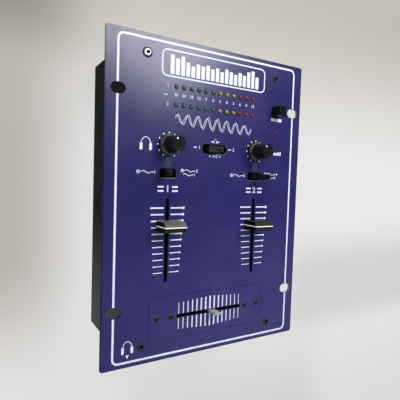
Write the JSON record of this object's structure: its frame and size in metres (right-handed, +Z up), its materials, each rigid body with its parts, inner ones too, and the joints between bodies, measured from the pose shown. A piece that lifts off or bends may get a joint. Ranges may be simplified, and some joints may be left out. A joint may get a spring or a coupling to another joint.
{
  "type": "dj mixer",
  "caption": "Two-channel DJ mixer: dark blue face panel over a black steel chassis, with channel faders, a crossfader, level knobs, source levers and a diode level meter.",
  "frame": {"origin": "on the floor under the middle of the face panel, with the mixer lying on its feet", "axes": "+X to the right across the panel, +Y from the headphone edge to the edge with the rear sockets, +Z up out of the face panel"},
  "size_m": [0.254, 0.3413, 0.1428],
  "materials": {
    "panel_paint": "satin dark blue powder coat",
    "white_ink": "screen-printed matt white ink",
    "chassis_paint": "satin black paint, scuffed",
    "foot_rubber": "matt black rubber",
    "dark_screws": "black oxide",
    "zinc_steel": "zinc-plated sheet",
    "bare_steel": "bare stamped steel",
    "nickel": "bright nickel plate",
    "cap_plastic": "moulded black plastic, worn",
    "cap_line": "white filled line",
    "knob_plastic": "soft-touch black plastic",
    "switch_plastic": "moulded black plastic",
    "slider_plastic": "grey-black plastic",
    "button_plastic": "smooth black plastic",
    "led_green": "tinted diode lens",
    "led_yellow": "tinted diode lens",
    "led_red": "tinted diode lens",
    "board": "green solder mask",
    "chip": "black epoxy",
    "capacitor": "blue shrink sleeve",
    "ribbon": "grey flat cable",
    "socket_insert": "white and red insulators",
    "lamination": "varnished laminations",
    "winding": "taped winding",
    "sink": "plain extruded aluminium"
  },
  "bodies": {
    "case": {"face_panel": "panel_paint", "panel_print": "white_ink", "chassis_wrap": "chassis_paint", "front_wall": "chassis_paint", "rear_wall": "chassis_paint", "rubber_feet": "foot_rubber", "chassis_screws": "dark_screws", "panel_screws": "dark_screws", "crossfader_plate": "panel_paint", "crossfader_brackets": "zinc_steel", "crossfader_screws": "dark_screws", "crossfader_body": "chassis_paint", "channel_fader_bodies": "chassis_paint", "potentiometers": "zinc_steel", "potentiometer_nuts": "nickel", "source_switches": "switch_plastic", "cue_switch": "switch_plastic", "power_switch": "switch_plastic", "leds_green": "led_green", "leds_yellow": "led_yellow", "leds_red": "led_red", "led_board": "board", "main_board": "board", "board_spacers": "nickel", "board_screws": "nickel", "board_chips": "chip", "board_capacitors": "capacitor", "ribbon_cable": "ribbon", "io_board": "board", "rca_blocks": "switch_plastic", "rca_sleeves": "nickel", "rca_inserts": "socket_insert", "ground_post": "nickel", "headphone_jack": "switch_plastic", "headphone_nut": "nickel", "mains_inlet": "switch_plastic", "inlet_pins": "nickel", "transformer_core": "lamination", "transformer_coil": "winding", "transformer_strap": "zinc_steel", "supply_board": "board", "supply_capacitors": "capacitor", "heat_sink": "sink"},
    "fader_1": {"fader_lever_1": "bare_steel", "fader_cap_1": "cap_plastic", "fader_cap_line_1": "cap_line"},
    "fader_2": {"fader_lever_2": "bare_steel", "fader_cap_2": "cap_plastic", "fader_cap_line_2": "cap_line"},
    "crossfader": {"crossfader_lever": "bare_steel"},
    "phones": {"phones_shaft": "nickel", "phones_knob": "knob_plastic", "phones_knob_dot": "white_ink"},
    "master": {"master_shaft": "nickel", "master_knob": "knob_plastic", "master_knob_dot": "white_ink"},
    "source_1": {"source_lever_1": "knob_plastic"},
    "source_2": {"source_lever_2": "knob_plastic"},
    "cue": {"cue_slider": "slider_plastic"},
    "power": {"power_button": "button_plastic"}
  },
  "joints": [
    {"name": "fader_1_slide", "type": "slide", "parent": "case", "child": "fader_1", "axis": [0, 1, 0], "range_m": [-0.0506, 0.0186]},
    {"name": "fader_2_slide", "type": "slide", "parent": "case", "child": "fader_2", "axis": [0, 1, 0], "range_m": [-0.0482, 0.021]},
    {"name": "crossfader_slide", "type": "slide", "parent": "case", "child": "crossfader", "axis": [1, 0, 0], "range_m": [-0.0404, 0.0356]},
    {"name": "phones_turn", "type": "hinge", "parent": "case", "child": "phones", "pos_m": [-0.0575, 0.0605, 0.1193], "axis": [0, 0, 1], "range_deg": [-168, 132]},
    {"name": "master_turn", "type": "hinge", "parent": "case", "child": "master", "pos_m": [0.0575, 0.0605, 0.1193], "axis": [0, 0, 1], "range_deg": [-175, 125]},
    {"name": "source_1_tilt", "type": "hinge", "parent": "case", "child": "source_1", "pos_m": [-0.0575, 0.0307, 0.1128], "axis": [0, 1, 0], "range_deg": [0, 29]},
    {"name": "source_2_tilt", "type": "hinge", "parent": "case", "child": "source_2", "pos_m": [0.0575, 0.0307, 0.1128], "axis": [0, 1, 0], "range_deg": [-29, 0]},
    {"name": "cue_slide", "type": "slide", "parent": "case", "child": "cue", "axis": [1, 0, 0], "range_m": [-0.005, 0.005]},
    {"name": "power_push", "type": "slide", "parent": "case", "child": "power", "axis": [0, 0, 1], "range_m": [-0.0035, 0], "stiffness_N_per_m": 300, "springref_m": 0.001}
  ]
}
